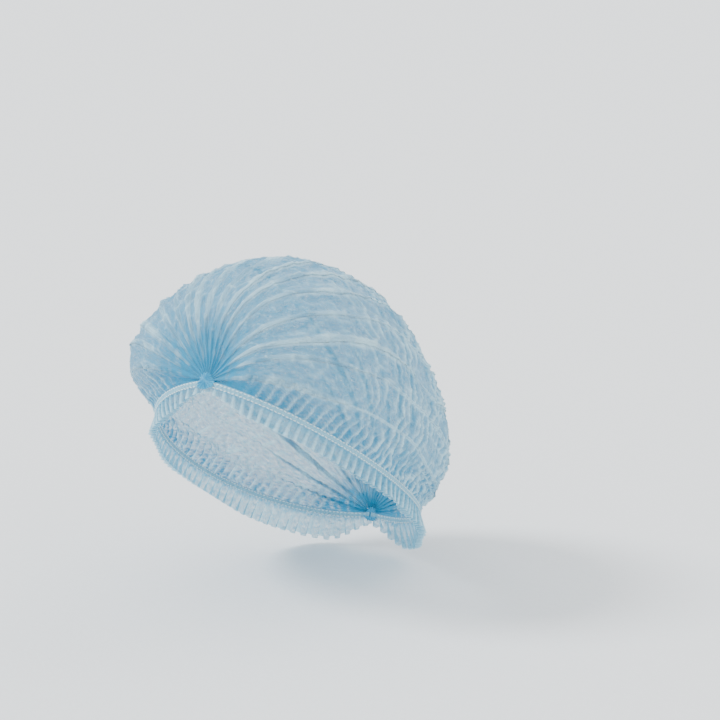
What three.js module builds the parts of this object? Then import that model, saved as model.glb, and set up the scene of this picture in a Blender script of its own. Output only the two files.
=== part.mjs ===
// A disposable pleated hairnet, the kind that folds flat to a strip, in the form it has when worn.
// Millimetres, +Z up. The wearer faces -Y and the wearer's left is +X.
// The origin is the middle of the elastic rim, on the line from the front gather to the back gather.

import * as THREE from 'three';

// ---- driving dimensions ----

// The rim: an oval in a plane that drops from the hairline to the nape.
const RIM_HALF_LENGTH = 116;
const RIM_HALF_WIDTH = 78;
const RIM_DROP_DEG = 34.1;
// How far round from the top of the head each side of the rim lies. The right side is pulled lower.
const RIM_LEFT_DEG = 95;
const RIM_RIGHT_DEG = 102;

// The crown: an egg whose middle sits ahead of and above the rim's middle, before it is puffed.
const CROWN_HALF_LENGTH = 122.4;
const CROWN_HALF_HEIGHT = 94.3;
const CROWN_HALF_WIDTH = 86;
const CROWN_AHEAD = 11.1;
const CROWN_LIFT = 21;
const CROWN_WALL = 1.2;

// How far from a gather, and from the elastic, the cloth takes to swell to its full form, in degrees.
const GATHER_REACH_DEG = 14;
const ELASTIC_REACH_DEG = 13;

// The crown stops this far from each gather's middle, and each gather fills most of that.
const CROWN_START_DEG = 4;
const GATHER_RADIUS_DEG = 3.7;
const GATHER_PROUD = 1.8;
const GATHER_DEPTH = 3.2;

// The elastic starts this far below the crown's edge, which slants in behind it at the gathers.
const ELASTIC_DROP = 1.1;
const ELASTIC_HEIGHT = 3;
const ELASTIC_THICKNESS = 1.4;
const HEM_WALL = 1.5;
const HEM_HEIGHT_FRONT = 9.5;
const HEM_HEIGHT_BACK = 17;
// Near a gather the hem shrinks to this share of its height, over this distance.
const HEM_END_SHARE = 0.3;
const HEM_END_REACH_DEG = 16;
const HEM_FLARE = 0.12;
const HEM_PLEAT_PITCH = 6.6;
const HEM_PLEAT_TOP = 0.5;
const HEM_PLEAT_BOTTOM = 1.5;
// The elastics and hems stop this far from each gather's middle, so that the two sides stay apart.
const RIM_START_DEG = 0.5;
// Within this far of a gather the hem turns to hang straight down.
const HEM_TURN_DEG = 25;

// The gap between the elastic and the hem.
const GAP = 0.3;

// Soft swellings and hollows of the crown: where each is, how wide it spreads, and how far it rises.
// "along" runs from the front gather, 0, to the back gather, 180.
// "around" runs from the top of the head, 0, to the wearer's left, +90, and right, -90.
const PUFFS = [
  { name: 'right_temple', along: 40, around: -84, spread: 26, rise: 15 },
  { name: 'left_temple', along: 45, around: 70, spread: 25, rise: 3 },
  { name: 'left_crown_hollow', along: 100, around: 35, spread: 35, rise: -2.7 },
  { name: 'left_nape_bag', along: 145, around: 65, spread: 28, rise: 7.6 },
  { name: 'right_nape_bag', along: 145, around: -65, spread: 28, rise: 6 },
];

// The pleats that run over the crown from gather to gather, from the right rim to the left one.
const PLEATS = [
  { around: -86, height: 3.6 },
  { around: -74, height: 4.2 },
  { around: -62, height: 5.0 },
  { around: -49, height: 3.8 },
  { around: -39, height: 3.4 },
  { around: -30, height: 4.4 },
  { around: -21, height: 5.0 },
  { around: -11, height: 4.2 },
  { around: -1, height: 3.8 },
  { around: 8, height: 4.4 },
  { around: 17, height: 5.0 },
  { around: 28, height: 4.4 },
  { around: 42, height: 4.2 },
  { around: 54, height: 4.8 },
  { around: 66, height: 4.4 },
  { around: 80, height: 3.6 },
];

const ROWS_ALONG_CROWN = 26;
const ROWS_ALONG_ELASTIC = 44;
const SPOKES_IN_GATHER = 14;

const WEB_COLOUR = 0x9fd0e4;
const GATHER_COLOUR = 0x42b4d6;
const ELASTIC_COLOUR = 0xd6edf4;

// ---- directions of the frame ----

const DROP = THREE.MathUtils.degToRad(RIM_DROP_DEG);
const TOWARD_NAPE = new THREE.Vector3(0, Math.cos(DROP), -Math.sin(DROP));
const OUT_OF_RIM = new THREE.Vector3(0, Math.sin(DROP), Math.cos(DROP));
const TO_LEFT = new THREE.Vector3(1, 0, 0);
const DOWN = new THREE.Vector3(0, 0, -1);

// ---- the crown's form ----

// The direction from the origin at an angle along the pleats and round the head.
function direction(along, around) {
  const a = THREE.MathUtils.degToRad(along);
  const b = THREE.MathUtils.degToRad(around);
  return { nape: -Math.cos(a), out: Math.sin(a) * Math.cos(b), left: Math.sin(a) * Math.sin(b) };
}

// A smooth fall from 1 to 0 as the distance passes the reach.
function fade(distance, reach) {
  return Math.exp(-((distance / reach) ** 2));
}

// How far the plain egg is from the origin in a direction.
function eggRadius(dir) {
  const length2 = CROWN_HALF_LENGTH ** 2;
  const height2 = CROWN_HALF_HEIGHT ** 2;
  const a = dir.nape ** 2 / length2 + dir.out ** 2 / height2 + dir.left ** 2 / CROWN_HALF_WIDTH ** 2;
  const b = (dir.out * CROWN_LIFT) / height2 - (dir.nape * CROWN_AHEAD) / length2;
  const c = CROWN_AHEAD ** 2 / length2 + CROWN_LIFT ** 2 / height2 - 1;
  return (b + Math.sqrt(b * b - a * c)) / a;
}

// How much the puffs add in a direction.
function puffRise(dir) {
  let rise = 0;
  for (const puff of PUFFS) {
    const to = direction(puff.along, puff.around);
    const cosine = dir.nape * to.nape + dir.out * to.out + dir.left * to.left;
    const apart = THREE.MathUtils.radToDeg(Math.acos(THREE.MathUtils.clamp(cosine, -1, 1)));
    rise += puff.rise * fade(apart, puff.spread);
  }
  return rise;
}

// How far the rim's oval is from the origin.
function rimRadius(along) {
  const a = THREE.MathUtils.degToRad(along);
  return 1 / Math.hypot(Math.cos(a) / RIM_HALF_LENGTH, Math.sin(a) / RIM_HALF_WIDTH);
}

// How far the cloth is from the origin, before it is pleated.
function clothRadius(along, around) {
  const dir = direction(along, around);
  const gathered = Math.min(1, fade(along, GATHER_REACH_DEG) + fade(180 - along, GATHER_REACH_DEG));
  const swollen = eggRadius(dir) + puffRise(dir);
  const full = THREE.MathUtils.lerp(swollen, RIM_HALF_LENGTH, gathered);
  const fromRim = around > 0 ? RIM_LEFT_DEG - around : RIM_RIGHT_DEG + around;
  return THREE.MathUtils.lerp(full, rimRadius(along), fade(fromRim, ELASTIC_REACH_DEG));
}

function pointAt(along, around, radius) {
  const dir = direction(along, around);
  return new THREE.Vector3()
    .addScaledVector(TOWARD_NAPE, radius * dir.nape)
    .addScaledVector(OUT_OF_RIM, radius * dir.out)
    .addScaledVector(TO_LEFT, radius * dir.left);
}

// ---- closed meshes ----

// A closed wall from a grid of outer points and a grid of inner points behind them.
// The rows run from gather to gather and the columns from the wearer's right to the left.
function wallFromGrids(outer, inner) {
  const rows = outer.length;
  const columns = outer[0].length;
  const points = [...outer.flat(), ...inner.flat()];
  const faces = [];
  const front = (row, column) => row * columns + column;
  const back = (row, column) => rows * columns + row * columns + column;
  const quad = (a, b, c, d) => faces.push(a, b, c, a, c, d);

  for (let i = 0; i + 1 < rows; i++) {
    for (let j = 0; j + 1 < columns; j++) {
      quad(front(i, j), front(i, j + 1), front(i + 1, j + 1), front(i + 1, j));
      quad(back(i, j), back(i + 1, j), back(i + 1, j + 1), back(i, j + 1));
    }
  }
  for (let j = 0; j + 1 < columns; j++) {
    quad(front(0, j), back(0, j), back(0, j + 1), front(0, j + 1));
    quad(front(rows - 1, j), front(rows - 1, j + 1), back(rows - 1, j + 1), back(rows - 1, j));
  }
  for (let i = 0; i + 1 < rows; i++) {
    quad(front(i, 0), front(i + 1, 0), back(i + 1, 0), back(i, 0));
    quad(front(i, columns - 1), back(i, columns - 1), back(i + 1, columns - 1), front(i + 1, columns - 1));
  }
  return geometryOf(points, faces);
}

// A closed band through a list of four-cornered sections, each given in the same turning order.
function bandFromSections(sections) {
  const points = sections.flat();
  const faces = [];
  for (let i = 0; i + 1 < sections.length; i++) {
    for (let k = 0; k < 4; k++) {
      const a = 4 * i + k;
      const b = 4 * i + ((k + 1) % 4);
      faces.push(a, b, b + 4, a, b + 4, a + 4);
    }
  }
  const last = 4 * (sections.length - 1);
  faces.push(0, 2, 1, 0, 3, 2);
  faces.push(last, last + 1, last + 2, last, last + 2, last + 3);
  return geometryOf(points, faces);
}

// A geometry with its faces pointing out, whichever way its points were listed.
function geometryOf(points, faces) {
  let volume = 0;
  for (let i = 0; i < faces.length; i += 3) {
    const [a, b, c] = [points[faces[i]], points[faces[i + 1]], points[faces[i + 2]]];
    volume += a.dot(new THREE.Vector3().crossVectors(b, c));
  }
  const geometry = new THREE.BufferGeometry();
  geometry.setFromPoints(points);
  geometry.setIndex(volume > 0 ? faces : faces.toReversed());
  geometry.computeVertexNormals();
  return geometry;
}

function piece(name, geometry, colour, roughness) {
  const material = new THREE.MeshStandardMaterial({ color: colour, roughness, metalness: 0 });
  const mesh = new THREE.Mesh(geometry, material);
  mesh.name = name;
  return mesh;
}

// ---- the crown ----

// The columns of the crown: each pleat's ridge, the valley between two pleats, and the cloth by the rims.
function crownColumns() {
  const columns = [
    { around: -RIM_RIGHT_DEG, rise: 0 },
    { around: -RIM_RIGHT_DEG + 4, rise: 0.4 },
    { around: -RIM_RIGHT_DEG + 9, rise: -0.6 },
  ];
  PLEATS.forEach((pleat, i) => {
    columns.push({ around: pleat.around, rise: pleat.height / 2 });
    if (i + 1 < PLEATS.length) {
      const next = PLEATS[i + 1];
      columns.push({ around: (pleat.around + next.around) / 2, rise: -(pleat.height + next.height) / 4 });
    }
  });
  columns.push({ around: RIM_LEFT_DEG - 8, rise: -0.8 });
  columns.push({ around: RIM_LEFT_DEG - 4, rise: 0.4 });
  columns.push({ around: RIM_LEFT_DEG, rise: 0 });
  return columns;
}

// The pleats stand up between the gathers and close to nothing at each of them.
function pleatEnvelope(along) {
  return Math.sqrt(Math.sin(THREE.MathUtils.degToRad(along)));
}

function crownGeometry() {
  const columns = crownColumns();
  const outer = [];
  const inner = [];
  for (let i = 0; i <= ROWS_ALONG_CROWN; i++) {
    const share = (1 - Math.cos((Math.PI * i) / ROWS_ALONG_CROWN)) / 2;
    const along = THREE.MathUtils.lerp(CROWN_START_DEG, 180 - CROWN_START_DEG, share);
    const radii = columns.map((c) => clothRadius(along, c.around) + c.rise * pleatEnvelope(along));
    outer.push(columns.map((c, j) => pointAt(along, c.around, radii[j])));
    inner.push(columns.map((c, j) => pointAt(along, c.around, radii[j] - CROWN_WALL)));
  }
  return wallFromGrids(outer, inner);
}

// ---- the gathers ----

// A fan of tight puckers round the front gather's middle, with the ridge and valley of each pucker in turn.
// The back gather is the same fan at the other end.
function gatherGeometry(atBack) {
  const rings = [0, GATHER_RADIUS_DEG / 2, GATHER_RADIUS_DEG];
  const proud = [GATHER_PROUD, GATHER_PROUD * 0.8, 0.2];
  const points = [];
  for (const side of [1, -1]) {
    rings.forEach((ring, r) => {
      const along = atBack ? 180 - ring : ring;
      for (let s = 0; s <= (r === 0 ? 0 : SPOKES_IN_GATHER); s++) {
        const around = THREE.MathUtils.lerp(-RIM_RIGHT_DEG, RIM_LEFT_DEG, s / SPOKES_IN_GATHER);
        const pucker = r > 0 && side > 0 ? 0.45 * (s % 2 ? -1 : 1) : 0;
        const offset = side > 0 ? proud[r] + pucker : -GATHER_DEPTH + r * 0.6;
        points.push(pointAt(along, around, RIM_HALF_LENGTH + offset));
      }
    });
  }

  const half = points.length / 2;
  const ringStart = [0, 1, 2 + SPOKES_IN_GATHER];
  const faces = [];
  for (let s = 0; s < SPOKES_IN_GATHER; s++) {
    for (const [base, flip] of [[0, false], [half, true]]) {
      const [a, b] = [base + ringStart[1] + s, base + ringStart[1] + s + 1];
      const [c, d] = [base + ringStart[2] + s, base + ringStart[2] + s + 1];
      faces.push(...(flip ? [base, a, b, a, c, d, a, d, b] : [base, b, a, a, d, c, a, b, d]));
    }
    const [c, d] = [ringStart[2] + s, ringStart[2] + s + 1];
    faces.push(c, d, half + d, c, half + d, half + c);
  }
  for (const [spoke, flip] of [[0, false], [SPOKES_IN_GATHER, true]]) {
    const path = [0, ringStart[1] + spoke, ringStart[2] + spoke];
    for (let k = 0; k < 2; k++) {
      const [p, q] = [path[k], path[k + 1]];
      faces.push(...(flip ? [p, half + q, q, p, half + p, half + q] : [p, q, half + q, p, half + q, half + p]));
    }
  }
  return geometryOf(points, faces);
}

// ---- the rim: elastics and hems ----

// A place on the rim, with the way along it, the way down the cloth and the way out from the head.
function rimFrame(along, side) {
  const around = side > 0 ? RIM_LEFT_DEG : -RIM_RIGHT_DEG;
  const step = 0.5;
  const place = pointAt(along, around, rimRadius(along));
  const ahead = pointAt(along + step, around, rimRadius(along + step));
  const behind = pointAt(along - step, around, rimRadius(along - step));
  const tangent = ahead.sub(behind).normalize();
  const square = THREE.MathUtils.smoothstep(Math.min(along, 180 - along), 0, HEM_TURN_DEG);
  const down = DOWN.clone().addScaledVector(tangent, -square * DOWN.dot(tangent)).normalize();
  const out = new THREE.Vector3().crossVectors(down, tangent).multiplyScalar(side).normalize();
  return { place, down, out };
}

function offsetFrom(frame, down, out) {
  return frame.place.clone().addScaledVector(frame.down, down).addScaledVector(frame.out, out);
}

// The elastic: a flat band, just below the crown's edge.
function elasticGeometry(side) {
  const sections = [];
  for (let i = 0; i <= ROWS_ALONG_ELASTIC; i++) {
    const along = THREE.MathUtils.lerp(RIM_START_DEG, 180 - RIM_START_DEG, i / ROWS_ALONG_ELASTIC);
    const frame = rimFrame(along, side);
    const top = ELASTIC_DROP;
    const bottom = top + ELASTIC_HEIGHT;
    const half = ELASTIC_THICKNESS / 2;
    sections.push([
      offsetFrom(frame, top, half),
      offsetFrom(frame, bottom, half),
      offsetFrom(frame, bottom, -half),
      offsetFrom(frame, top, -half),
    ]);
  }
  return bandFromSections(sections);
}

// The places along the rim that are an even distance apart, so that the hem's pleats are too.
function evenPlaces(side, pitch) {
  const samples = 400;
  const angles = [];
  const lengths = [0];
  for (let i = 0; i <= samples; i++) {
    angles.push(THREE.MathUtils.lerp(RIM_START_DEG, 180 - RIM_START_DEG, i / samples));
    if (i > 0) {
      const step = rimFrame(angles[i], side).place.distanceTo(rimFrame(angles[i - 1], side).place);
      lengths.push(lengths[i - 1] + step);
    }
  }
  const total = lengths[samples];
  const count = 2 * Math.round(total / pitch);
  const places = [];
  let at = 0;
  for (let k = 0; k <= count; k++) {
    const want = (total * k) / count;
    while (at < samples - 1 && lengths[at + 1] < want) at++;
    const share = (want - lengths[at]) / (lengths[at + 1] - lengths[at]);
    places.push(THREE.MathUtils.lerp(angles[at], angles[at + 1], share));
  }
  return places;
}

// How far the hem hangs below the elastic.
function hemHeight(along) {
  const towardBack = THREE.MathUtils.smoothstep(along, 105, 165);
  const fromGather = THREE.MathUtils.smoothstep(Math.min(along, 180 - along), 0, HEM_END_REACH_DEG);
  const full = THREE.MathUtils.lerp(HEM_HEIGHT_FRONT, HEM_HEIGHT_BACK, towardBack);
  return full * THREE.MathUtils.lerp(HEM_END_SHARE, 1, fromGather);
}

// The hem: a pleated ruffle below the elastic, deeper towards the nape.
function hemGeometry(side) {
  const sections = evenPlaces(side, HEM_PLEAT_PITCH).map((along, i) => {
    const frame = rimFrame(along, side);
    const fold = i % 2 ? -1 : 1;
    const top = ELASTIC_DROP + ELASTIC_HEIGHT + GAP;
    const bottom = top + hemHeight(along);
    const topOut = HEM_PLEAT_TOP * fold;
    const bottomOut = HEM_PLEAT_BOTTOM * fold + HEM_FLARE * (bottom - top);
    return [
      offsetFrom(frame, top, topOut + HEM_WALL / 2),
      offsetFrom(frame, bottom, bottomOut + HEM_WALL / 2),
      offsetFrom(frame, bottom, bottomOut - HEM_WALL / 2),
      offsetFrom(frame, top, topOut - HEM_WALL / 2),
    ];
  });
  return bandFromSections(sections);
}

// ---- the hairnet ----

const group = new THREE.Group();
group.add(piece('crown', crownGeometry(), WEB_COLOUR, 0.7));
group.add(piece('front_gather', gatherGeometry(false), GATHER_COLOUR, 0.6));
group.add(piece('back_gather', gatherGeometry(true), GATHER_COLOUR, 0.6));
for (const [name, side] of [['left', 1], ['right', -1]]) {
  group.add(piece(`${name}_elastic`, elasticGeometry(side), ELASTIC_COLOUR, 0.6));
  group.add(piece(`${name}_hem`, hemGeometry(side), WEB_COLOUR, 0.7));
}

export default group;
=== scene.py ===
"""A disposable pleated hairnet in its worn form: the finish of every piece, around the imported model.

Lengths are in metres. The wearer faces -Y, the wearer's left is +X, and the origin is the middle of
the elastic rim. Angles that place cloth are in degrees: "along" runs from the front gather, 0, to the
back gather, 180, and "around" from the top of the head, 0, to the left rim, +95, and the right, -102.
"""
import logging
import math
from dataclasses import dataclass
from enum import Enum

import bpy
import numpy as np
from mathutils import Matrix, Vector


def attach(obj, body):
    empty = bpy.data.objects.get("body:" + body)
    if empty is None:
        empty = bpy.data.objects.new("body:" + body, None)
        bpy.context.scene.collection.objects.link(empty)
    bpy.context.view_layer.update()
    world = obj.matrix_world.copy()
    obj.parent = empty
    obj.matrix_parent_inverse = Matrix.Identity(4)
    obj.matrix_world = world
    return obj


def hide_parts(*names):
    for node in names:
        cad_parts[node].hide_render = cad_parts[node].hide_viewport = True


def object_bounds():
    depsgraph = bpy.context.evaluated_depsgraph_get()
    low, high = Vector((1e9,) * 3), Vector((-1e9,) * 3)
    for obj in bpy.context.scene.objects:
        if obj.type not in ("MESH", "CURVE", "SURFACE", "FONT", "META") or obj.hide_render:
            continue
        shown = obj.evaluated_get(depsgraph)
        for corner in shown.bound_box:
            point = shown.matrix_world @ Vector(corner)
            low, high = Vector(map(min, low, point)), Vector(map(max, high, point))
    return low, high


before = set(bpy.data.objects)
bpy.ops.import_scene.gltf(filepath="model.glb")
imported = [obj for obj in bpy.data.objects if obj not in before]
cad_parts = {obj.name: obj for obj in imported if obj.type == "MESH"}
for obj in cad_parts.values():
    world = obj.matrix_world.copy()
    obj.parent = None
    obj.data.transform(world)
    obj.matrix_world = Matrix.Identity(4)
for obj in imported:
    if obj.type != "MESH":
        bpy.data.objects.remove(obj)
CAD_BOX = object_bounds()

LOG = logging.getLogger("hairnet")
MM = 0.001
BODY = "root"
CLOTH_UV = "cloth"
BAKE_UV = "OFBake"
# Angles along at which lengths of the rim are worked out, an eighth of a degree apart.
RIM_ANGLES = np.linspace(0.0, 180.0, 1441)

Piece = bpy.types.Object
Material = bpy.types.Material
Tree = bpy.types.NodeTree
Node = bpy.types.Node
Socket = bpy.types.NodeSocket
Array = np.ndarray


class Side(Enum):
    """A side of the wearer's head, with the sign of X on that side."""

    LEFT = 1
    RIGHT = -1

    @property
    def word(self) -> str:
        """The side's name in the names of pieces."""
        return self.name.lower()


class End(Enum):
    """An end of the pleated strip, with the angle along the pleats at which it is gathered."""

    FRONT = 0
    BACK = 180

    @property
    def word(self) -> str:
        """The end's name in the names of pieces."""
        return self.name.lower()


# ---- the cap's form ----


@dataclass(frozen=True)
class Puff:
    """A soft swelling or hollow of the crown.

    Args:
        along: where its middle is, from gather to gather, in degrees.
        around: where its middle is, round the head, in degrees.
        spread: how wide it is, in degrees.
        rise: how far it stands out, in metres.
    """

    along: float
    around: float
    spread: float
    rise: float


@dataclass(frozen=True)
class Pleat:
    """A pleat that runs from gather to gather.

    Args:
        around: where its fold is, round the head, in degrees.
        height: how far its ridge stands above the valleys beside it, in metres.
        tuck: how wide the cloth is folded under beside the ridge, in metres.
        opens: how far along from a gather the tuck stays closed, in degrees.
    """

    around: float
    height: float
    tuck: float
    opens: float


PUFFS = (
    Puff(along=40, around=-84, spread=26, rise=15 * MM),
    Puff(along=45, around=70, spread=25, rise=3 * MM),
    Puff(along=100, around=35, spread=35, rise=-2.7 * MM),
    Puff(along=145, around=65, spread=28, rise=7.6 * MM),
    Puff(along=145, around=-65, spread=28, rise=6 * MM),
)

# From the right rim to the left: around, height and tuck in millimetres, and opens.
PLEATS = tuple(
    Pleat(around, height * MM, tuck * MM, opens)
    for around, height, tuck, opens in (
        (-86, 3.6, 2.0, 30),
        (-74, 4.2, 3.0, 40),
        (-62, 5.0, 5.0, 70),
        (-49, 3.8, 3.0, 35),
        (-39, 3.4, 2.6, 30),
        (-30, 4.4, 4.0, 50),
        (-21, 5.0, 6.0, 75),
        (-11, 4.2, 4.4, 60),
        (-1, 3.8, 4.0, 60),
        (8, 4.4, 4.6, 70),
        (17, 5.0, 6.4, 85),
        (28, 4.4, 4.6, 75),
        (42, 4.2, 3.4, 70),
        (54, 4.8, 6.0, 70),
        (66, 4.4, 3.0, 60),
        (80, 3.6, 3.6, 45),
    )
)


def fade(distance: Array, reach: float) -> Array:
    """A smooth fall from 1 to 0 as the distance passes the reach.

    Args:
        distance: how far from where the value is 1.
        reach: the distance at which it has fallen to about a third.

    Returns:
        The share that is left at each distance.
    """
    return np.exp(-((distance / reach) ** 2))


def ramp(value: Array, low: float, high: float) -> Array:
    """A smooth step from 0 at low to 1 at high.

    Args:
        value: the values to grade.
        low: where the step starts.
        high: where it ends, which may be below low for a falling step.

    Returns:
        The share of the step at each value.
    """
    share = np.clip((value - low) / (high - low), 0.0, 1.0)
    return share * share * (3.0 - 2.0 * share)


def crumple(x: Array, y: Array | float, wavelength: float, seed: int) -> Array:
    """A smooth random field with no direction of its own, from -1 to 1 for the most part.

    Args:
        x: one coordinate, in the wavelength's unit.
        y: the other coordinate.
        wavelength: the mean distance from one crest to the next.
        seed: picks one field of many, always the same one.

    Returns:
        The field's value at each place.
    """
    draw = np.random.default_rng(seed)
    total = np.zeros(np.broadcast(x, y).shape)
    waves = 14
    for _ in range(waves):
        turn, phase = draw.uniform(0, 2 * math.pi, 2)
        pitch = wavelength * draw.uniform(0.65, 1.6)
        total += np.sin(2 * math.pi * (x * math.cos(turn) + y * math.sin(turn)) / pitch + phase)
    return total / math.sqrt(waves)


@dataclass(frozen=True)
class CapForm:
    """The form that the cloth follows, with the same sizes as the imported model.

    Args:
        half_length: half the rim's oval from gather to gather.
        half_width: half the rim's oval from side to side.
        drop: how steeply the rim drops from the hairline to the nape, in degrees.
        left_rim: how far round the left side of the rim lies, in degrees.
        right_rim: how far round the right side lies, in degrees.
        crown_half: the plain egg's half length, half height and half width.
        ahead: how far the egg's middle is ahead of the rim's.
        lift: how far the egg's middle is above the rim's.
        gather_reach: how far from a gather the cloth takes to swell, in degrees.
        elastic_reach: how far from the elastic it takes to swell, in degrees.
    """

    half_length: float = 116 * MM
    half_width: float = 78 * MM
    drop: float = 34.1
    left_rim: float = 95.0
    right_rim: float = 102.0
    crown_half: tuple[float, float, float] = (122.4 * MM, 94.3 * MM, 86 * MM)
    ahead: float = 11.1 * MM
    lift: float = 21 * MM
    gather_reach: float = 14.0
    elastic_reach: float = 13.0

    def axes(self) -> tuple[Array, Array, Array]:
        """The axes that the form is built on.

        Returns:
            The directions to the nape gather, out of the rim into the crown, and to the wearer's left.
        """
        drop = math.radians(self.drop)
        return (
            np.array([0.0, math.cos(drop), -math.sin(drop)]),
            np.array([0.0, math.sin(drop), math.cos(drop)]),
            np.array([1.0, 0.0, 0.0]),
        )

    @staticmethod
    def heading(along: Array, around: Array) -> Array:
        """The direction from the origin, as its parts along the three axes.

        Args:
            along: angles from gather to gather.
            around: angles round the head.

        Returns:
            An array with the three parts last.
        """
        a, b = np.radians(along), np.radians(around)
        return np.stack([-np.cos(a) + 0 * b, np.sin(a) * np.cos(b), np.sin(a) * np.sin(b)], axis=-1)

    def rim_radius(self, along: Array) -> Array:
        """How far the rim's oval is from the origin at each angle along."""
        a = np.radians(along)
        return 1.0 / np.hypot(np.cos(a) / self.half_length, np.sin(a) / self.half_width)

    def radius(self, along: Array, around: Array) -> Array:
        """How far the smooth cloth is from the origin.

        Args:
            along: angles from gather to gather.
            around: angles round the head.

        Returns:
            The distances, in metres.
        """
        way = self.heading(along, around)
        length2, height2, width2 = (half**2 for half in self.crown_half)
        a = way[..., 0] ** 2 / length2 + way[..., 1] ** 2 / height2 + way[..., 2] ** 2 / width2
        b = way[..., 1] * self.lift / height2 - way[..., 0] * self.ahead / length2
        c = self.ahead**2 / length2 + self.lift**2 / height2 - 1.0
        swollen = (b + np.sqrt(b * b - a * c)) / a
        for puff in PUFFS:
            to = self.heading(np.float64(puff.along), np.float64(puff.around))
            apart = np.degrees(np.arccos(np.clip(way @ to, -1.0, 1.0)))
            swollen = swollen + puff.rise * fade(apart, puff.spread)
        near = np.minimum(1.0, fade(along, self.gather_reach) + fade(180.0 - along, self.gather_reach))
        full = swollen + (self.half_length - swollen) * near
        from_rim = np.where(around > 0, self.left_rim - around, self.right_rim + around)
        pinch = fade(from_rim, self.elastic_reach)
        return full + (self.rim_radius(along) - full) * pinch

    def place(self, along: Array, around: Array, radius: Array) -> Array:
        """The points at these angles and distances.

        Args:
            along: angles from gather to gather.
            around: angles round the head.
            radius: distances from the origin.

        Returns:
            The points, with x, y and z last.
        """
        way = self.heading(along, around)
        nape, out, left = self.axes()
        return radius[..., None] * (way[..., :1] * nape + way[..., 1:2] * out + way[..., 2:] * left)

    def cloth(self, along: Array, around: Array, raised: Array) -> Array:
        """Points that stand off the smooth cloth along its normal.

        Args:
            along: angles from gather to gather.
            around: angles round the head.
            raised: how far each point stands out.

        Returns:
            The points, with x, y and z last.
        """
        step = 0.25
        here = self.place(along, around, self.radius(along, around))
        down = self.place(along + step, around, self.radius(along + step, around)) - here
        side = self.place(along, around + step, self.radius(along, around + step)) - here
        normal = np.cross(side, down)
        normal /= np.linalg.norm(normal, axis=-1, keepdims=True)
        outward = np.sign(np.sum(normal * here, axis=-1, keepdims=True))
        return here + normal * outward * raised[..., None]

    def rim_angle(self, side: Side) -> float:
        """How far round the head a side of the rim lies, with its sign."""
        return self.left_rim if side is Side.LEFT else -self.right_rim

    def rim_frames(self, along: Array, side: Side) -> tuple[Array, Array, Array]:
        """Places on the rim, with the way down the cloth and the way out from the head at each.

        Args:
            along: angles from gather to gather.
            side: the side of the head.

        Returns:
            Three arrays of vectors: place, down and out.
        """
        around = np.full_like(along, self.rim_angle(side))
        step = 0.5
        here = self.place(along, around, self.rim_radius(along))
        tangent = self.place(along + step, around, self.rim_radius(along + step))
        tangent = tangent - self.place(along - step, around, self.rim_radius(along - step))
        tangent /= np.linalg.norm(tangent, axis=-1, keepdims=True)
        down = np.array([0.0, 0.0, -1.0])
        square = ramp(np.minimum(along, 180.0 - along), 0.0, 25.0)
        down = down - (square * (tangent @ down))[:, None] * tangent
        down /= np.linalg.norm(down, axis=-1, keepdims=True)
        out = np.cross(down, tangent) * side.value
        out /= np.linalg.norm(out, axis=-1, keepdims=True)
        return here, down, out

    def rim_length(self, along: Array | float, side: Side) -> Array:
        """How far along the rim each angle is from the front gather.

        Args:
            along: angles from gather to gather.
            side: the side of the head.

        Returns:
            The distances, in metres.
        """
        around = np.full_like(RIM_ANGLES, self.rim_angle(side))
        places = self.place(RIM_ANGLES, around, self.rim_radius(RIM_ANGLES))
        steps = np.linalg.norm(np.diff(places, axis=0), axis=1)
        return np.interp(along, RIM_ANGLES, np.concatenate([[0.0], np.cumsum(steps)]))

    def rim_whole(self, side: Side) -> float:
        """How long a side of the rim is, from gather to gather, in metres."""
        return float(self.rim_length(180.0, side))

    def rim_along(self, length: Array, side: Side) -> Array:
        """The angle along at each distance from the front gather, the other way round."""
        return np.interp(length, self.rim_length(RIM_ANGLES, side), RIM_ANGLES)


FORM = CapForm()


# ---- meshes ----


def grid_mesh(name: str, points: Array, cloth: Array, fields: dict[str, Array]) -> Piece:
    """One layer of cloth through a grid of points.

    Args:
        name: the piece's name.
        points: rows by columns by three.
        cloth: rows by columns by two, each point's place on the flat cloth in metres.
        fields: named numbers at each point, for the finish to read.

    Returns:
        The new object, smooth shaded.
    """
    rows, columns = points.shape[:2]
    index = np.arange(rows * columns).reshape(rows, columns)
    quads = np.stack([index[:-1, :-1], index[:-1, 1:], index[1:, 1:], index[1:, :-1]], axis=-1).reshape(-1, 4)
    mesh = bpy.data.meshes.new(name)
    mesh.from_pydata(points.reshape(-1, 3).tolist(), [], quads.tolist())
    mesh.polygons.foreach_set("use_smooth", np.ones(len(quads), dtype=bool))

    corners = quads.reshape(-1)
    layer = mesh.uv_layers.new(name=CLOTH_UV)
    layer.data.foreach_set("uv", cloth.reshape(-1, 2)[corners].reshape(-1))
    v, u = np.meshgrid(np.linspace(0.003, 0.997, rows), np.linspace(0.003, 0.997, columns), indexing="ij")
    flat = np.stack([u, v], axis=-1).reshape(-1, 2)
    layer = mesh.uv_layers.new(name=BAKE_UV)
    layer.data.foreach_set("uv", flat[corners].reshape(-1))
    for field_name, values in fields.items():
        attribute = mesh.attributes.new(field_name, "FLOAT", "POINT")
        attribute.data.foreach_set("value", values.reshape(-1).astype(np.float32))
    piece = bpy.data.objects.new(name, mesh)
    bpy.context.scene.collection.objects.link(piece)
    return piece


def finish_piece(piece: Piece, nodes: tuple[str, ...], material: Material) -> None:
    """Dresses a piece and tells the frame where it belongs.

    Args:
        piece: the object.
        nodes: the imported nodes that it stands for.
        material: its finish.
    """
    piece.data.materials.clear()
    piece.data.materials.append(material)
    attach(piece, BODY)
    if nodes:
        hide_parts(*nodes)
    LOG.info("%s: %d faces, %s", piece.name, len(piece.data.polygons), material.name)


# ---- finishes ----


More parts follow.
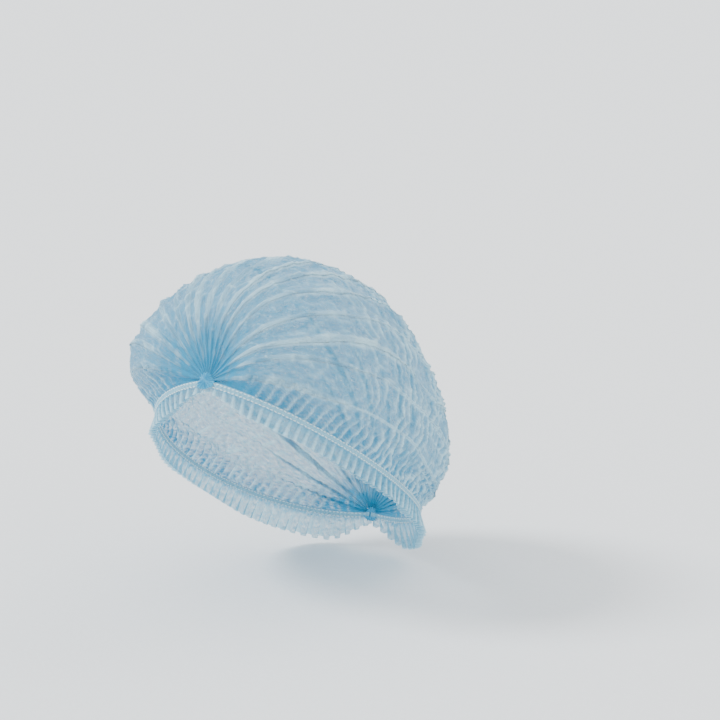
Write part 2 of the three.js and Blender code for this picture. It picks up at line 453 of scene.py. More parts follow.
def linear(code: str) -> tuple[float, float, float, float]:
    """A linear colour from an sRGB hex code.

    Args:
        code: the code, such as "#9fd0e4".

    Returns:
        Red, green, blue and alpha.
    """
    channels = [int(code[i : i + 2], 16) / 255 for i in (1, 3, 5)]
    turned = [c / 12.92 if c <= 0.04045 else ((c + 0.055) / 1.055) ** 2.4 for c in channels]
    return (turned[0], turned[1], turned[2], 1.0)


def add(tree: Tree, kind: str, settings: dict | None = None, links: dict | None = None) -> Node:
    """Adds a shader node with its settings and links.

    Args:
        tree: the material's node tree.
        kind: the node's type, such as "Math".
        settings: attributes by name, and values of input sockets by name or number.
        links: for each input socket, by name or number, the output socket that feeds it.

    Returns:
        The new node.
    """
    made = tree.nodes.new(f"ShaderNode{kind}")
    for key, value in (settings or {}).items():
        if isinstance(key, str) and hasattr(made, key):
            setattr(made, key, value)
        else:
            made.inputs[key].default_value = value
    for key, source in (links or {}).items():
        tree.links.new(source, made.inputs[key])
    return made


def new_material(name: str) -> tuple[Material, Tree]:
    """Makes an empty node material.

    Args:
        name: the material's name.

    Returns:
        The material and its tree.
    """
    material = bpy.data.materials.new(name)
    material.use_nodes = True
    material.node_tree.nodes.clear()
    return material, material.node_tree


def fused(
    tree: Tree,
    value: Socket,
    gain: float,
    start: Socket | float,
    clamp: bool = False,
) -> Socket:
    """A value times a gain, added to a start.

    Args:
        tree: the material's node tree.
        value: the output socket to be scaled.
        gain: what it is multiplied by.
        start: what that is added to, a number or an output socket.
        clamp: whether the result is kept from 0 to 1.

    Returns:
        The output socket.
    """
    settings = {"operation": "MULTIPLY_ADD", "use_clamp": clamp, 1: gain}
    links = {0: value}
    if isinstance(start, Socket):
        links[2] = start
    else:
        settings[2] = start
    return add(tree, "Math", settings, links).outputs[0]


def blended(
    tree: Tree,
    share: Socket,
    first: Socket | tuple,
    second: Socket | tuple,
) -> Socket:
    """A colour between two, each an output socket or a colour.

    Args:
        tree: the material's node tree.
        share: how much of the second there is.
        first: the colour where the share is 0.
        second: the colour where the share is 1.

    Returns:
        The output socket.
    """
    settings: dict = {"data_type": "RGBA"}
    links: dict = {0: share}
    for slot, colour in ((6, first), (7, second)):
        (links if isinstance(colour, Socket) else settings)[slot] = colour
    return add(tree, "Mix", settings, links).outputs[2]


@dataclass(frozen=True)
class SpunbondWeb:
    """Sheer spunbonded polypropylene: long fibres laid at random and welded at small points.

    The eye sees a milky pale-blue veil with a fine mottled grain, denser along each fold, where a pale
    highlight is painted.

    Args:
        name: the material's name.
        thin: the colour of one open layer.
        crease_highlight: a painted highlight along each fold, the pale colour of fibres that catch the light.
        dense: the colour where layers are gathered together.
        cover: how much of what is behind one open layer hides.
        weld_pitch: the distance between weld points. The real one is about 1.5 mm, which is too fine to
            show, so it is drawn coarser.
        fibre_pitch: the mean distance between clumps of fibres.
    """

    name: str
    thin: str = "#3391b6"
    crease_highlight: str = "#c2e6f1"
    dense: str = "#0c9ac6"
    cover: float = 0.68
    weld_pitch: float = 2.6 * MM
    fibre_pitch: float = 2.0 * MM

    def build(self) -> Material:
        """Builds the node tree.

        Returns:
            The material.
        """
        material, tree = new_material(self.name)
        cloth = add(tree, "UVMap", {"uv_map": CLOTH_UV}).outputs[0]
        crease_and_highlight = add(tree, "Attribute", {"attribute_name": "crease_and_highlight"}).outputs["Fac"]
        gathered = add(tree, "Attribute", {"attribute_name": "gathered"}).outputs["Fac"]
        fibres = self.fibres(tree, cloth)
        welds = self.welds(tree, cloth)

        # It hides more where fibres clump, along creases and at the gathers, and less at each weld.
        cover = fused(tree, fibres, 0.36, self.cover - 0.18)
        cover = fused(tree, crease_and_highlight, 0.30, cover)
        cover = fused(tree, gathered, 0.55, cover)
        cover = fused(tree, welds, -0.12, cover, clamp=True)

        # Gathered layers deepen to cyan, and each crease gets a painted highlight, a milky line, wherever they
        # don't hide it.
        tint = blended(tree, gathered, linear(self.thin), linear(self.dense))
        highlight_share = fused(tree, gathered, -0.75, crease_and_highlight, clamp=True)
        tint = blended(tree, highlight_share, tint, linear(self.crease_highlight))
        height = fused(tree, welds, -0.8, fibres)
        bump = add(tree, "Bump", {"Strength": 0.5, "Distance": 0.4 * MM}, {"Height": height}).outputs[0]
        surface = add(
            tree,
            "BsdfPrincipled",
            {"Roughness": 0.62, "IOR": 1.49, "Sheen Weight": 0.35, "Sheen Roughness": 0.4},
            {"Base Color": tint, "Normal": bump},
        ).outputs[0]
        through = add(tree, "BsdfTranslucent", None, {"Color": tint, "Normal": bump}).outputs[0]
        lit = add(tree, "MixShader", {0: 0.35}, {1: surface, 2: through}).outputs[0]
        clear = add(tree, "BsdfTransparent").outputs[0]
        veil = add(tree, "MixShader", None, {0: cover, 1: clear, 2: lit}).outputs[0]
        add(tree, "OutputMaterial", None, {"Surface": veil})
        return material

    def fibres(self, tree: Tree, cloth: Socket) -> Socket:
        """Clumps of fibres, as two sets of streaks that cross each other.

        Args:
            tree: the material's node tree.
            cloth: the place on the flat cloth.

        Returns:
            The output socket, from 0 between clumps to 1 in them.
        """
        streaks = []
        for turn, stretch in ((0.5, 3.0), (-0.9, 2.4)):
            placed = add(
                tree,
                "Mapping",
                {
                    "Rotation": (0, 0, turn),
                    "Scale": (1 / (self.fibre_pitch * stretch), 1 / self.fibre_pitch, 1),
                },
                {"Vector": cloth},
            ).outputs[0]
            noise = add(tree, "TexNoise", {"Scale": 1.0, "Detail": 2.0}, {"Vector": placed})
            streaks.append(noise.outputs["Fac"])
        both = add(tree, "Math", {"operation": "ADD"}, {0: streaks[0], 1: streaks[1]}).outputs[0]
        span = {"From Min": 0.72, "From Max": 1.28}
        return add(tree, "MapRange", span, {"Value": both}).outputs[0]

    def welds(self, tree: Tree, cloth: Socket) -> Socket:
        """Weld points on a lattice turned by an eighth.

        Args:
            tree: the material's node tree.
            cloth: the place on the flat cloth.

        Returns:
            The output socket, 1 in each point and 0 between them.
        """
        placed = add(
            tree,
            "Mapping",
            {"Rotation": (0, 0, math.pi / 4), "Scale": (1 / self.weld_pitch, 1 / self.weld_pitch, 1)},
            {"Vector": cloth},
        ).outputs[0]
        spots = add(tree, "TexVoronoi", {"Scale": 1.0, "Randomness": 0.15}, {"Vector": placed})
        return add(
            tree,
            "MapRange",
            {"From Min": 0.18, "From Max": 0.34, "To Min": 1.0, "To Max": 0.0},
            {"Value": spots.outputs["Distance"]},
        ).outputs[0]


@dataclass(frozen=True)
class GrainedFinish:
    """A solid finish in which one noise both mottles the colour and stands up as a fine grain.

    The eye sees a soft, uneven surface and not one flat colour.

    Args:
        name: the material's name.
        hollow: the sRGB hex code in the grain's hollows.
        raised: the code on its tops.
        grain: the grain's size.
        relief: how far it stands up.
        roughness: how matt it is.
        detail: how many finer grains lie over it.
        strength: how strongly light shows the grain.
        sheen: how much it glows at a slant.
    """

    name: str
    hollow: str
    raised: str
    grain: float
    relief: float
    roughness: float
    detail: float = 2.0
    strength: float = 0.3
    sheen: float = 0.2

    def build(self) -> Material:
        """Builds the node tree.

        Returns:
            The material.
        """
        material, tree = new_material(self.name)
        place = add(tree, "TexCoord").outputs["Object"]
        scale = {"Scale": 1 / self.grain, "Detail": self.detail}
        noise = add(tree, "TexNoise", scale, {"Vector": place}).outputs["Fac"]
        tint = blended(tree, noise, linear(self.hollow), linear(self.raised))
        lift = {"Strength": self.strength, "Distance": self.relief}
        normal = add(tree, "Bump", lift, {"Height": noise}).outputs[0]
        surface = add(
            tree,
            "BsdfPrincipled",
            {"Roughness": self.roughness, "IOR": 1.49, "Sheen Weight": self.sheen},
            {"Base Color": tint, "Normal": normal},
        ).outputs[0]
        add(tree, "OutputMaterial", None, {"Surface": surface})
        return material


# ---- the crown ----


@dataclass
class Crown:
    """The pleated web over the head, one layer of cloth folded under itself at every pleat.

    Args:
        rows: rows of points from gather to gather.
        per_pleat: columns of points across each pleat.
        per_rim: columns between each outermost pleat and its rim.
        start: how far from each gather's middle the cloth starts, in degrees.
        layer_gap: how far the layers of a tuck lie apart.
        rib_pitch: the distance between the tucks that rise from the elastic.
        tuck_reach: how far they rise.
        tuck_lean: how far they lean back, for each metre that they rise.
        crease_pitch: the distance between the herringbone creases.
        crease_slant: how far a crease slants along the cloth as it crosses a panel.
        crease_rise: how far it stands up.
    """

    rows: int = 330
    per_pleat: int = 16
    per_rim: int = 14
    start: float = 2.0
    layer_gap: float = 0.55 * MM
    rib_pitch: float = 6.6 * MM
    tuck_reach: float = 17 * MM
    tuck_lean: float = 0.45
    crease_pitch: float = 10.0 * MM
    crease_slant: float = 9 * MM
    crease_rise: float = 1.9 * MM

    def columns(self, along: Array) -> tuple[Array, Array, Array, Array]:
        """Where each column of the cloth lies in each row.

        Args:
            along: the rows' angles.

        Returns:
            Angles around, heights, creases with their painted highlight, and each column's share of its panel,
            rows by columns.
        """
        lists: tuple[list, ...] = ([], [], [], [])
        first, last = -FORM.right_rim, FORM.left_rim
        middles = [(a.around + b.around) / 2 for a, b in zip(PLEATS, PLEATS[1:])]
        edges = [PLEATS[0].around - 6.0, *middles, PLEATS[-1].around + 5.5]
        for i in range(self.per_rim):
            angle = first + (edges[0] - first) * i / self.per_rim
            self.plain_column(lists, along, angle, -PLEATS[0].height / 2 * i / self.per_rim)
        for index, pleat in enumerate(PLEATS):
            self.pleat_columns(pleat, edges[index], edges[index + 1], along, index, lists)
        for i in range(self.per_rim + 1):
            angle = edges[-1] + (last - edges[-1]) * i / self.per_rim
            self.plain_column(lists, along, angle, -PLEATS[-1].height / 2 * (1 - i / self.per_rim))
        grids = [np.stack(part, axis=1) for part in lists]
        for grid in grids[:2]:
            grid[:, 1:-1] = 0.25 * grid[:, :-2] + 0.5 * grid[:, 1:-1] + 0.25 * grid[:, 2:]
        return tuple(grids)

    @staticmethod
    def plain_column(lists: tuple[list, ...], along: Array, angle: float, raised: float) -> None:
        """Adds a column with no fold or crease in it, at one angle around and one height."""
        for part, value in zip(lists, (angle, raised, 0.0, 0.0)):
            part.append(np.full_like(along, value))

    def pleat_columns(
        self, pleat: Pleat, low: float, high: float, along: Array, index: int, lists: tuple[list, ...]
    ) -> None:
        """Adds the columns of one pleat: a panel up to the fold, the tuck under it and the next panel.

        Args:
            pleat: the pleat.
            low: the angle around where its cloth starts.
            high: the angle around where it ends.
            along: the rows' angles.
            index: the pleat's number, which seeds its wander.
            lists: the lists of angles, heights, creases with their painted highlight, and shares to add to.
        """
        around, raised, crease_and_highlight, share = lists
        ring = FORM.half_length * np.sin(np.radians(along))
        from_gather = np.minimum(along, 180.0 - along)
        closed = ramp(from_gather, pleat.opens * 1.35, pleat.opens * 0.65)
        wander = 1.3 * crumple(along, 0.0, 55.0, 40 + index) * ramp(from_gather, 4, 35)
        uneven = 0.5 * (1.0 + 0.45 * crumple(along, 0.0, 48.0, 70 + index))
        fold = pleat.around + wander
        half = np.degrees(pleat.tuck / 2 / ring) * (0.12 + 0.88 * closed)
        half = np.minimum(half, 0.44 * np.minimum(fold - low, high - fold))
        lay = 1.0 if pleat.around > 0 else -1.0
        top = int(self.per_pleat * 0.42)
        under = int(self.per_pleat * 0.60)
        depth = np.sqrt(np.sin(np.radians(along)))
        gap = self.layer_gap * np.minimum(1.0, ring / (12 * MM))
        for i in range(self.per_pleat):
            if i <= top:
                t = i / top
                angle = low + (fold + half - low) * t
                layer = lay * t**3
            elif i <= under:
                t = (i - top) / (under - top)
                angle = fold + half - 2 * half * t
                layer = lay * (1 - 2 * t)
            else:
                t = (i - under) / (self.per_pleat - under)
                angle = fold - half + (high - fold + half) * t
                layer = -lay * (1 - t) ** 3
            ridge = 1.0 - np.abs(angle - fold) / np.where(angle < fold, fold - low, high - fold)
            around.append(angle)
            raised.append((ridge**1.4 - 0.5) * pleat.height * uneven * depth + layer * gap)
            # Both fold lines and the doubled tuck between them are marked for more cover and a painted
            # highlight.
            under_fold = ramp(np.abs(angle - fold), 1.35 * half + 0.05, 0.9 * half)
            doubled = min(0.8, 0.25 + 0.1 * pleat.tuck / MM) * under_fold
            crease_and_highlight.append(np.maximum(doubled, 1.0 if i in (top, under) else 0.0))
            share.append(ridge)

    def build(self, material: Material) -> None:
        """Builds the crown and tells the frame about it.

        Args:
            material: the web.
        """
        along = np.linspace(self.start, 180.0 - self.start, self.rows)
        around, raised, crease_and_highlight, share = self.columns(along)
        rows = along[:, None] + 0 * around
        run = np.radians(rows) * FORM.half_length
        across = np.radians(around) * FORM.half_length * np.sin(np.radians(rows))

        smooth = FORM.cloth(rows, around, np.zeros_like(rows))
        strides = np.linalg.norm(np.diff(smooth, axis=1), axis=-1)
        from_right = np.concatenate([np.zeros((self.rows, 1)), np.cumsum(strides, axis=1)], axis=1)
        from_left = from_right[:, -1:] - from_right

        wrinkle, crease_highlights = self.crinkles(rows, around, run, share)
        tucks, tuck_highlights, gathered_rim = self.rim_gathers(rows, {Side.RIGHT: from_right, Side.LEFT: from_left})
        points = FORM.cloth(rows, around, raised + wrinkle + tucks)

        from_gather = np.minimum(rows, 180.0 - rows)
        gathered = np.clip(fade(from_gather, 13.0) + 0.45 * gathered_rim, 0.0, 1.0)
        gathered = np.clip(gathered * (0.85 + 0.25 * crumple(run, across, 9 * MM, 5)), 0.0, 1.0)
        patchy = 0.8 + 0.3 * crumple(run, across, 30 * MM, 6)
        # The mask adds cover for doubled cloth and a painted highlight along every crease.
        crease_and_highlight = np.clip(crease_and_highlight * ramp(from_gather, 1, 8) * patchy + crease_highlights + tuck_highlights, 0.0, 1.0)
        steps = np.linalg.norm(np.diff(points, axis=1), axis=-1).max(axis=0)
        width = np.concatenate([[0.0], np.cumsum(steps)])
        cloth = np.stack([run, width[None, :] + 0 * run], axis=-1)
        crown = grid_mesh("crown_web", points, cloth, {"crease_and_highlight": crease_and_highlight, "gathered": gathered})
        finish_piece(crown, ("crown",), material)

    def crinkles(self, rows: Array, around: Array, run: Array, share: Array) -> tuple[Array, Array]:
        """The cross creases that the strip keeps from being packed: slanting lines that turn at each fold.

        Args:
            rows: angles along, at each point.
            around: angles around, at each point.
            run: distance along the cloth, at each point.
            share: how near its pleat's fold each point is, from 0 to 1.

        Returns:
            The heights that they add, and how strongly each point is creased, which sets more cover and a
            painted highlight there.
        """
        side = ramp(np.abs(around), 12.0, 40.0)
        strength = ramp(rows, 30.0, 70.0) * ramp(rows, 176.0, 150.0) * (0.45 + 0.55 * side)
        broken = np.clip(0.75 + 0.6 * crumple(run, np.radians(around) * 0.1, 34 * MM, 7), 0.0, 1.0)
        phase = (run + share * self.crease_slant) / self.crease_pitch
        phase = phase + 0.35 * crumple(run, np.radians(around) * 0.1, 40 * MM, 8)
        line = (1.0 - np.abs(np.sin(math.pi * phase))) ** 1.7
        soft = crumple(run, np.radians(around) * 0.11, 13 * MM, 9)
        ridged = (1.0 - np.clip(np.abs(crumple(run, np.radians(around) * 0.11, 19 * MM, 11)), 0, 1)) ** 4
        quiet = ramp(np.minimum(rows, 180.0 - rows), 3.0, 20.0)
        between = fade(share - 0.45, 0.07) * ramp(rows, 85.0, 125.0)
        height = -0.7 * MM * between + self.crease_rise * line * strength * broken
        height = height + 0.45 * MM * soft * quiet + 0.9 * MM * ridged * quiet
        # The second value paints a highlight along the crinkles, the ridges and the dip in the middle of each
        # back panel.
        return height, 1.25 * line**1.2 * strength * broken + 0.6 * ridged**2 * quiet + 0.7 * between

    def rim_gathers(self, rows: Array, from_rims: dict[Side, Array]) -> tuple[Array, Array, Array]:
        """The tucks that rise from the elastic, in step with the hem's ribs, and lean back as they rise.

        Args:
            rows: angles along, at each point.
            from_rims: for each side, how far each point is from that side's rim.

        Returns:
            The heights that they add, how strongly each point is creased, which paints a highlight on each
            tuck's top, and how closely gathered it is.
        """
        heights = np.zeros_like(rows)
        crease_highlights = np.zeros_like(rows)
        closeness = np.zeros_like(rows)
        ends = ramp(np.minimum(rows, 180.0 - rows), 5.0, 22.0)
        for side, from_rim in from_rims.items():
            length = FORM.rim_length(rows, side)
            wave = 2 * math.pi * (length - self.tuck_lean * from_rim) / self.rib_pitch
            uneven = 1.0 + 0.5 * crumple(length, 0.0, 22 * MM, 61 + side.value)
            reach = self.tuck_reach * (0.75 + 0.35 * uneven)
            slow = np.exp(-((from_rim / reach) ** 2))
            heights += 1.3 * MM * np.cos(wave) * slow * ends * uneven * ramp(from_rim, 0.0, 3 * MM)
            # A painted highlight on the top of each tuck.
            crease_highlights += 0.8 * np.clip(np.cos(wave), 0.0, 1.0) ** 3 * slow * ends
            closeness += 0.9 * fade(from_rim, 14 * MM) * np.clip(0.65 - 0.5 * np.cos(wave), 0.0, 1.0)
        return heights, crease_highlights, closeness


# ---- the rim ----


@dataclass
class Hem:
    """The ruffle below an elastic: the web folded over the elastic and drawn up into close ribs.

    Args:
        side: the side of the head.
        rib_pitch: the distance from rib to rib.
        per_rib: columns of points in each rib.
        rows: rows of points from the seam to the edge.
        top: how far below the rim's line the ruffle starts.
        front_height: its height at the front and sides.
        back_height: its height at the nape.
        flare: how far its edge stands out, for each metre of height.
        taper: how far from a gather it takes to reach its height, in degrees.
        start: how far from each gather's middle it starts.
    """

    side: Side
    rib_pitch: float = 6.6 * MM
    per_rib: int = 14
    rows: int = 13
    top: float = 3.3 * MM
    front_height: float = 10 * MM
    back_height: float = 17.5 * MM
    flare: float = 0.12
    taper: float = 16.0
    start: float = 0.3 * MM

    def build(self, material: Material) -> None:
        """Builds the ruffle and tells the frame about it.

        Args:
            material: the doubled web.
        """
        whole = FORM.rim_whole(self.side)
        ribs = round((whole - 2 * self.start) / self.rib_pitch)
        turn = np.linspace(0.0, ribs, ribs * self.per_rib + 1)
        down_share = np.linspace(0.0, 1.0, self.rows)[:, None]
        jitter = crumple(turn, 0.0, 5.0, 21 + self.side.value)

        length = self.start + (whole - 2 * self.start) * turn / ribs
        along = FORM.rim_along(length, self.side)
        place, down, out = FORM.rim_frames(along, self.side)
        tangent = np.gradient(place, axis=0)
        tangent /= np.linalg.norm(tangent, axis=-1, keepdims=True)

        height = self.front_height + (self.back_height - self.front_height) * ramp(along, 105.0, 165.0)
        wave = 2 * math.pi * turn
        height = height * (0.3 + 0.7 * ramp(np.minimum(along, 180.0 - along), 0.0, self.taper))
        scallop = 0.7 * MM * (0.5 + 0.5 * np.cos(wave + math.pi)) * (1 + 0.4 * jitter)
        drop = self.top + down_share * (height + scallop)[None, :]
        depth = (0.7 + 1.5 * down_share) * MM * (1 + 0.25 * jitter)[None, :]
        ridge = np.cos(wave) + 0.25 * np.cos(2 * wave)
        loose = 1.6 * MM * down_share**2 * crumple(length, 0.0, 60 * MM, 31 + self.side.value)[None, :]
        stand = depth * ridge[None, :] + self.flare * down_share * height[None, :] + loose
        lean = 0.9 * MM * (0.3 + 0.7 * down_share) * np.sin(2 * wave)[None, :]
        points = place[None]
        for reach, way in ((drop, down), (stand, out), (lean, tangent)):
            points = points + reach[..., None] * way[None]

        # A painted highlight on the top of each rib, stronger towards the bottom, and along the folded edge; it
        # also adds cover there.
        crease_and_highlight = np.clip((0.5 + 0.5 * np.cos(wave)) ** 8, 0, 1)[None, :] * (0.5 + 0.5 * down_share)
        crease_and_highlight = np.maximum(crease_and_highlight, 0.8 * ramp(down_share, 0.93, 1.0))
        gathered = 0.35 * ramp(down_share, 0.35, 0.0) + 0 * crease_and_highlight
        steps = np.linalg.norm(np.diff(points[-1], axis=0), axis=-1)
        width = np.concatenate([[0.0], np.cumsum(steps)])
        cloth = np.stack([width[None, :] + 0 * drop, drop], axis=-1)
        hem = grid_mesh(f"{self.side.word}_ruffle", points, cloth, {"crease_and_highlight": crease_and_highlight, "gathered": gathered})
        finish_piece(hem, (f"{self.side.word}_hem",), material)


@dataclass
class Channel:
    """The stitched channel that holds an elastic: a flat tube of web, drawn up in fine ruches.

    Args:
        side: the side of the head.
        top: how far below the rim's line it starts.
        height: its height.
        thickness: how thick it is.
        ruche_pitch: the distance from ruche to ruche.
        around_section: points round its section.
        start: how far from each gather's middle it starts.
    """

    side: Side
    top: float = -0.5 * MM
    height: float = 4.0 * MM
    thickness: float = 1.7 * MM
    ruche_pitch: float = 3.3 * MM
    around_section: int = 14
    start: float = 0.8 * MM

    def build(self, material: Material) -> None:
        """Builds the channel and tells the frame about it.

        Args:
            material: the doubled web.
        """
        whole = FORM.rim_whole(self.side)
        steps = int((whole - 2 * self.start) / (self.ruche_pitch / 6))
        length = np.linspace(self.start, whole - self.start, steps + 1)
        place, down, out = FORM.rim_frames(FORM.rim_along(length, self.side), self.side)
        turn = np.linspace(0, 2 * math.pi, self.around_section, endpoint=False)
        ruche = np.cos(2 * math.pi * length / self.ruche_pitch + 0.8 * crumple(length, 0.0, 30 * MM, 51))
        swell = 1.0 + 0.28 * ruche
        flat_x = np.sign(np.cos(turn)) * np.abs(np.cos(turn)) ** 0.7
        flat_y = np.sign(np.sin(turn)) * np.abs(np.sin(turn)) ** 0.7
        waist = 1.0 + 0.12 * np.cos(4 * turn)
        drop = self.top + self.height / 2 * (1 + flat_x[None, :] * (0.97 + 0.03 * ruche[:, None]))
        stand = self.thickness / 2 * flat_y[None, :] * waist[None, :] * swell[:, None]
        points = place[:, None] + drop[..., None] * down[:, None] + stand[..., None] * out[:, None]
        channel = tube_mesh(f"{self.side.word}_channel", points)
        finish_piece(channel, (f"{self.side.word}_elastic",), material)


@dataclass
class Stitching:
    """Two rows of thread that close the channel above and below the elastic, seen from both faces.

    Args:
        side: the side of the head.
        pitch: the length of a stitch and its gap. The real one is about 2 mm, drawn a little coarser.
        rows: how far below the rim's line each row runs.
        stand: how far each face's stitches stand from the middle of the channel.
        half: half a stitch's length, width and thickness.
        start: how far from each gather's middle the rows start.
        slope: how far a stitch climbs, for each metre of its length.
    """

    side: Side
    pitch: float = 2.6 * MM
    rows: tuple[float, float] = (0.25 * MM, 2.75 * MM)
    stand: float = 0.88 * MM
    half: tuple[float, float, float] = (1.05 * MM, 0.36 * MM, 0.28 * MM)
    start: float = 6 * MM
    slope: float = 0.22

    def build(self, material: Material) -> None:
        """Models one stitch and copies it along each row.

        Args:
            material: the thread.
        """
        bpy.ops.object.select_all(action="DESELECT")
        bpy.ops.mesh.primitive_uv_sphere_add(segments=6, ring_count=4, radius=1.0, rotation=(0, math.pi / 2, 0))
        bpy.ops.object.transform_apply(location=False, rotation=True, scale=False)
        piece = bpy.context.object
        piece.name = f"{self.side.word}_stitches"
        one = np.array([vertex.co for vertex in piece.data.vertices]) * np.array(self.half)
        faces = [tuple(polygon.vertices) for polygon in piece.data.polygons]

        whole = FORM.rim_whole(self.side)
        length = np.arange(self.start, whole - self.start, self.pitch)
        place, down, out = FORM.rim_frames(FORM.rim_along(length, self.side), self.side)
        tangent = np.cross(out, down)
        points, copies = [], []
        for drop in self.rows:
            for face in (-1, 1):
                lean = self.slope * (-1) ** np.arange(len(length))
                way = tangent + lean[:, None] * down
                across = down - lean[:, None] * tangent
                middle = place + drop * down + face * self.stand * out
                points.append(
                    middle[:, None]
                    + one[None, :, :1] * way[:, None]
                    + one[None, :, 1:2] * across[:, None]
                    + one[None, :, 2:] * out[:, None]
                )
        every = np.concatenate(points)
        for k in range(len(every)):
            copies.extend(tuple(k * len(one) + v for v in face) for face in faces)
        piece.data.clear_geometry()
        piece.data.from_pydata(every.reshape(-1, 3).tolist(), [], copies)
        face_out(piece)
        finish_piece(piece, (f"{self.side.word}_elastic",), material)


def tube_mesh(name: str, points: Array) -> Piece:
    """A closed tube through rings of points, with a cap at each end.

    Args:
        name: the piece's name.
        points: rings by points by three.

    Returns:
        The new object, smooth shaded, facing out.
    """
    rings, count = points.shape[:2]
    faces = []
    for i in range(rings - 1):
        for k in range(count):
            n = (k + 1) % count
            faces.append((i * count + k, i * count + n, (i + 1) * count + n, (i + 1) * count + k))
    faces.append(tuple(range(count)))
    faces.append(tuple((rings - 1) * count + k for k in range(count)))
    mesh = bpy.data.meshes.new(name)
    mesh.from_pydata(points.reshape(-1, 3).tolist(), [], faces)
    piece = bpy.data.objects.new(name, mesh)
    bpy.context.scene.collection.objects.link(piece)
    face_out(piece)
    return piece


def only(piece: Piece) -> None:
    """Makes one object the only selected one, and the active one.

    Args:
        piece: the object.
    """
    bpy.ops.object.select_all(action="DESELECT")
    piece.select_set(True)
    bpy.context.view_layer.objects.active = piece


def face_out(piece: Piece) -> None:
    """Turns the faces of closed shells outwards and shades them smooth.

    Args:
        piece: the object.
    """
    only(piece)
    bpy.ops.object.mode_set(mode="EDIT")
    bpy.ops.mesh.select_all(action="SELECT")
    bpy.ops.mesh.normals_make_consistent(inside=False)
    bpy.ops.object.mode_set(mode="OBJECT")
    bpy.ops.object.shade_smooth()


@dataclass
class Pucker:
    """The tight rosette where every pleat meets, pressed flat and sealed in the middle.

    Args:
        end: the front or the back of the cap.
        radius: how far its folds reach.
        folds: how many folds there are in a whole turn.
        relief: how far a fold stands up.
        rings: where its rings of points lie, as shares of the radius.
        thickness: how thick the sealed layers are.
    """

    end: End
    radius: float = 5.4 * MM
    folds: int = 18
    relief: float = 1.0 * MM
    rings: tuple[float, ...] = (0.2, 0.35, 0.5, 0.68, 0.85, 1.0)
    thickness: float = 0.7 * MM

    def build(self, material: Material) -> None:
        """Models the rosette in rings and lays it on the gather.

        Args:
            material: the sealed web.
        """
        bpy.ops.object.select_all(action="DESELECT")
        inner = self.radius * self.rings[0]
        bpy.ops.mesh.primitive_circle_add(vertices=self.folds * 4, radius=inner, fill_type="NGON")
        piece = bpy.context.object
        piece.name = f"{self.end.word}_pucker"
        bpy.ops.object.mode_set(mode="EDIT")
        bpy.ops.mesh.select_all(action="DESELECT")
        bpy.ops.mesh.select_mode(type="EDGE")
        bpy.ops.mesh.select_non_manifold()
        for now, ring in zip(self.rings, self.rings[1:]):
            bpy.ops.mesh.extrude_edges_move()
            bpy.ops.transform.resize(value=(ring / now, ring / now, 1), center_override=(0, 0, 0))
        bpy.ops.object.mode_set(mode="OBJECT")
        for vertex in piece.data.vertices:
            reach = math.hypot(vertex.co.x, vertex.co.y) / self.radius
            turn = math.atan2(vertex.co.y, vertex.co.x)
            fold = math.cos(self.folds * turn) + 0.3 * math.cos(self.folds / 2 * turn + 1)
            dome = 1.3 * MM * (1 - reach**2) - 0.9 * MM * math.exp(-((reach / 0.16) ** 2))
            vertex.co.z = dome + self.relief * fold * min(1.0, reach * 1.6) * (1 - 0.3 * reach)
            ray = 0.5 + 0.5 * math.cos(self.folds * turn)
            grow = 1 + 0.12 * math.cos(3 * turn + 0.5) + 0.22 * ray * reach * (1 + math.cos(5 * turn)) / 2
            vertex.co.x *= grow
            vertex.co.y *= grow
        only(piece)
        for kind, settings in (
            ("SOLIDIFY", {"thickness": self.thickness, "offset": -1.0}),
            ("SUBSURF", {"levels": 1, "render_levels": 1}),
        ):
            modifier = piece.modifiers.new(kind.title(), kind)
            for key, value in settings.items():
                setattr(modifier, key, value)
            bpy.ops.object.modifier_apply(modifier=modifier.name)
        bpy.ops.object.shade_smooth()
        nape, out, _ = FORM.axes()
        facing = Vector(nape) * (-1 if self.end is End.FRONT else 1)
        up = Vector(out)
        turned = Matrix((facing.cross(up) * -1, up, facing)).transposed().to_4x4()
        turned.translation = facing * (FORM.half_length + 0.6 * MM) - up * 0.5 * MM
        piece.data.transform(turned)
        finish_piece(piece, (f"{self.end.word}_gather",), material)


# ---- the studio ----


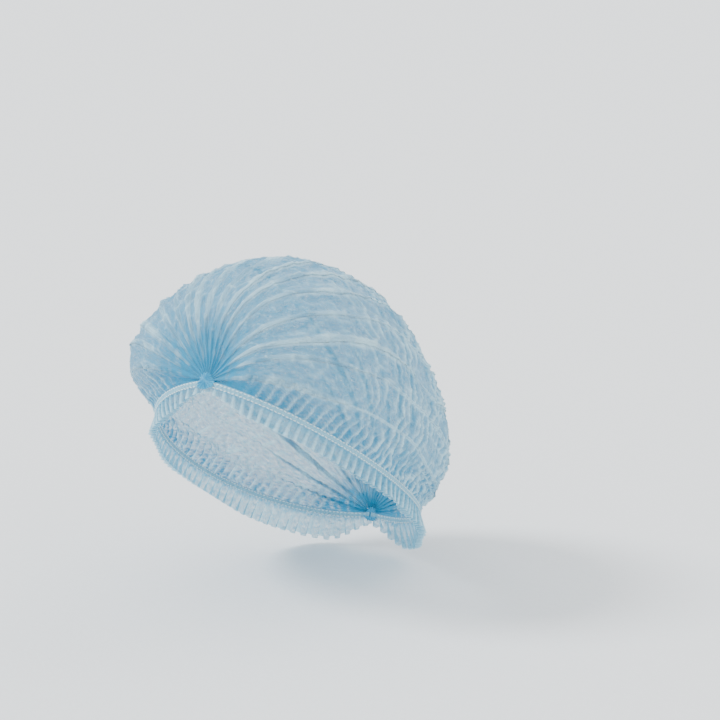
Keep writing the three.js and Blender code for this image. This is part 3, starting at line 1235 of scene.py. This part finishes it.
@dataclass
class Studio:
    """A wide flat pale floor, soft lights and the camera.

    Args:
        azimuth: the camera's angle round the cap, in degrees.
        elevation: its angle above the horizon, in degrees.
        distance: how far it is from the cap.
        view_width: how wide the view is at the cap.
        shift: how far the view is shifted, as a share of its width.
        sensor: the width of the camera's sensor, in millimetres.
        surround: how bright the even surround is.
        floor_size: how wide the floor is.
    """

    azimuth: float = 33.0
    elevation: float = 14.0
    distance: float = 1.5
    view_width: float = 0.464
    shift: tuple[float, float] = (0.0825, 0.0762)
    sensor: float = 36.0
    surround: float = 1.75
    floor_size: float = 80.0

    def camera(self, centre: Vector) -> None:
        """Places the camera so that it looks at the cap's middle.

        Args:
            centre: the cap's middle.
        """
        a, e = math.radians(self.azimuth), math.radians(self.elevation)
        back = Vector((math.sin(a) * math.cos(e), -math.cos(a) * math.cos(e), math.sin(e)))
        data = bpy.data.cameras.new("camera")
        data.sensor_width = self.sensor
        data.lens = self.sensor * self.distance / self.view_width
        data.shift_x, data.shift_y = self.shift
        camera = bpy.data.objects.new("camera", data)
        bpy.context.scene.collection.objects.link(camera)
        camera.location = centre + back * self.distance
        camera.rotation_mode = "QUATERNION"
        camera.rotation_quaternion = (-back).to_track_quat("-Z", "Y")
        bpy.context.scene.camera = camera

    def lights(self, centre: Vector) -> None:
        """Adds a soft key light, a fill, a back light and an even pale surround.

        Args:
            centre: the cap's middle.
        """
        # Each is a sun: its name, the way to it, how wide it looks in radians, and its strength.
        for name, spot, spread, power in (
            ("key", (-1.0, -0.7, 1.2), 0.3, 3.7),
            ("fill", (1.5, -1.0, 0.5), 1.2, 0.3),
            ("rim", (0.5, 1.5, 1.1), 0.9, 0.6),
        ):
            data = bpy.data.lights.new(name, "SUN")
            data.angle = spread
            data.energy = power
            light = bpy.data.objects.new(name, data)
            bpy.context.scene.collection.objects.link(light)
            light.location = centre + Vector(spot)
            light.rotation_mode = "QUATERNION"
            light.rotation_quaternion = Vector(spot).to_track_quat("Z", "Y")
        world = bpy.data.worlds.new("surround")
        world.use_nodes = True
        world.node_tree.nodes["Background"].inputs[0].default_value = linear("#f4f7f9")
        world.node_tree.nodes["Background"].inputs[1].default_value = self.surround
        bpy.context.scene.world = world

    def floor(self, height: float, material: Material) -> None:
        """Adds the floor.

        Args:
            height: the floor's height.
            material: its finish.
        """
        bpy.ops.object.select_all(action="DESELECT")
        bpy.ops.mesh.primitive_plane_add(size=self.floor_size, location=(0, 0, height))
        floor = bpy.context.object
        floor.name = "floor"
        bpy.ops.object.transform_apply(location=True, rotation=True, scale=True)
        floor.data.materials.append(material)


def main() -> None:
    """Builds every piece, then the studio round them."""
    logging.basicConfig(level=logging.INFO, format="%(name)s %(message)s")
    # One layer of web is a milky veil, and the doubled web of the hems is paler and a little denser.
    web = SpunbondWeb("spunbond_web").build()
    doubled = SpunbondWeb("doubled_spunbond_web", thin="#6bb3cd", cover=0.70).build()
    # Nothing shows through the many sealed layers, so they are a strong cyan with a faint gloss.
    sealed = GrainedFinish(
        "heat_sealed_web", "#0086b2", "#22a8cf", 1.3 * MM, 0.3 * MM, 0.5, detail=3.0, strength=0.4, sheen=0.3
    ).build()
    # The channel is a matt blue band, the stitches are near-white dashes on it, and the ground is pale.
    covered = GrainedFinish("covered_elastic", "#4f97b3", "#8fc3d6", 1.6 * MM, 0.32 * MM, 0.6).build()
    thread = GrainedFinish("polyester_thread", "#b5d6e1", "#e6f4f8", 0.5 * MM, 0.1 * MM, 0.5).build()
    paper = GrainedFinish("pale_paper_floor", "#dbdee0", "#dfe2e4", 4 * MM, 0.8 * MM, 0.9).build()

    for end in End:
        Pucker(end).build(sealed)
    for side in Side:
        Channel(side).build(covered)
        Stitching(side).build(thread)
        Hem(side).build(doubled)
    Crown().build(web)

    low, high = (Vector(corner) for corner in CAD_BOX)
    studio = Studio()
    studio.camera((low + high) / 2)
    studio.lights((low + high) / 2)
    studio.floor(low.z - 4 * MM, paper)


if __name__ == "__main__":
    main()
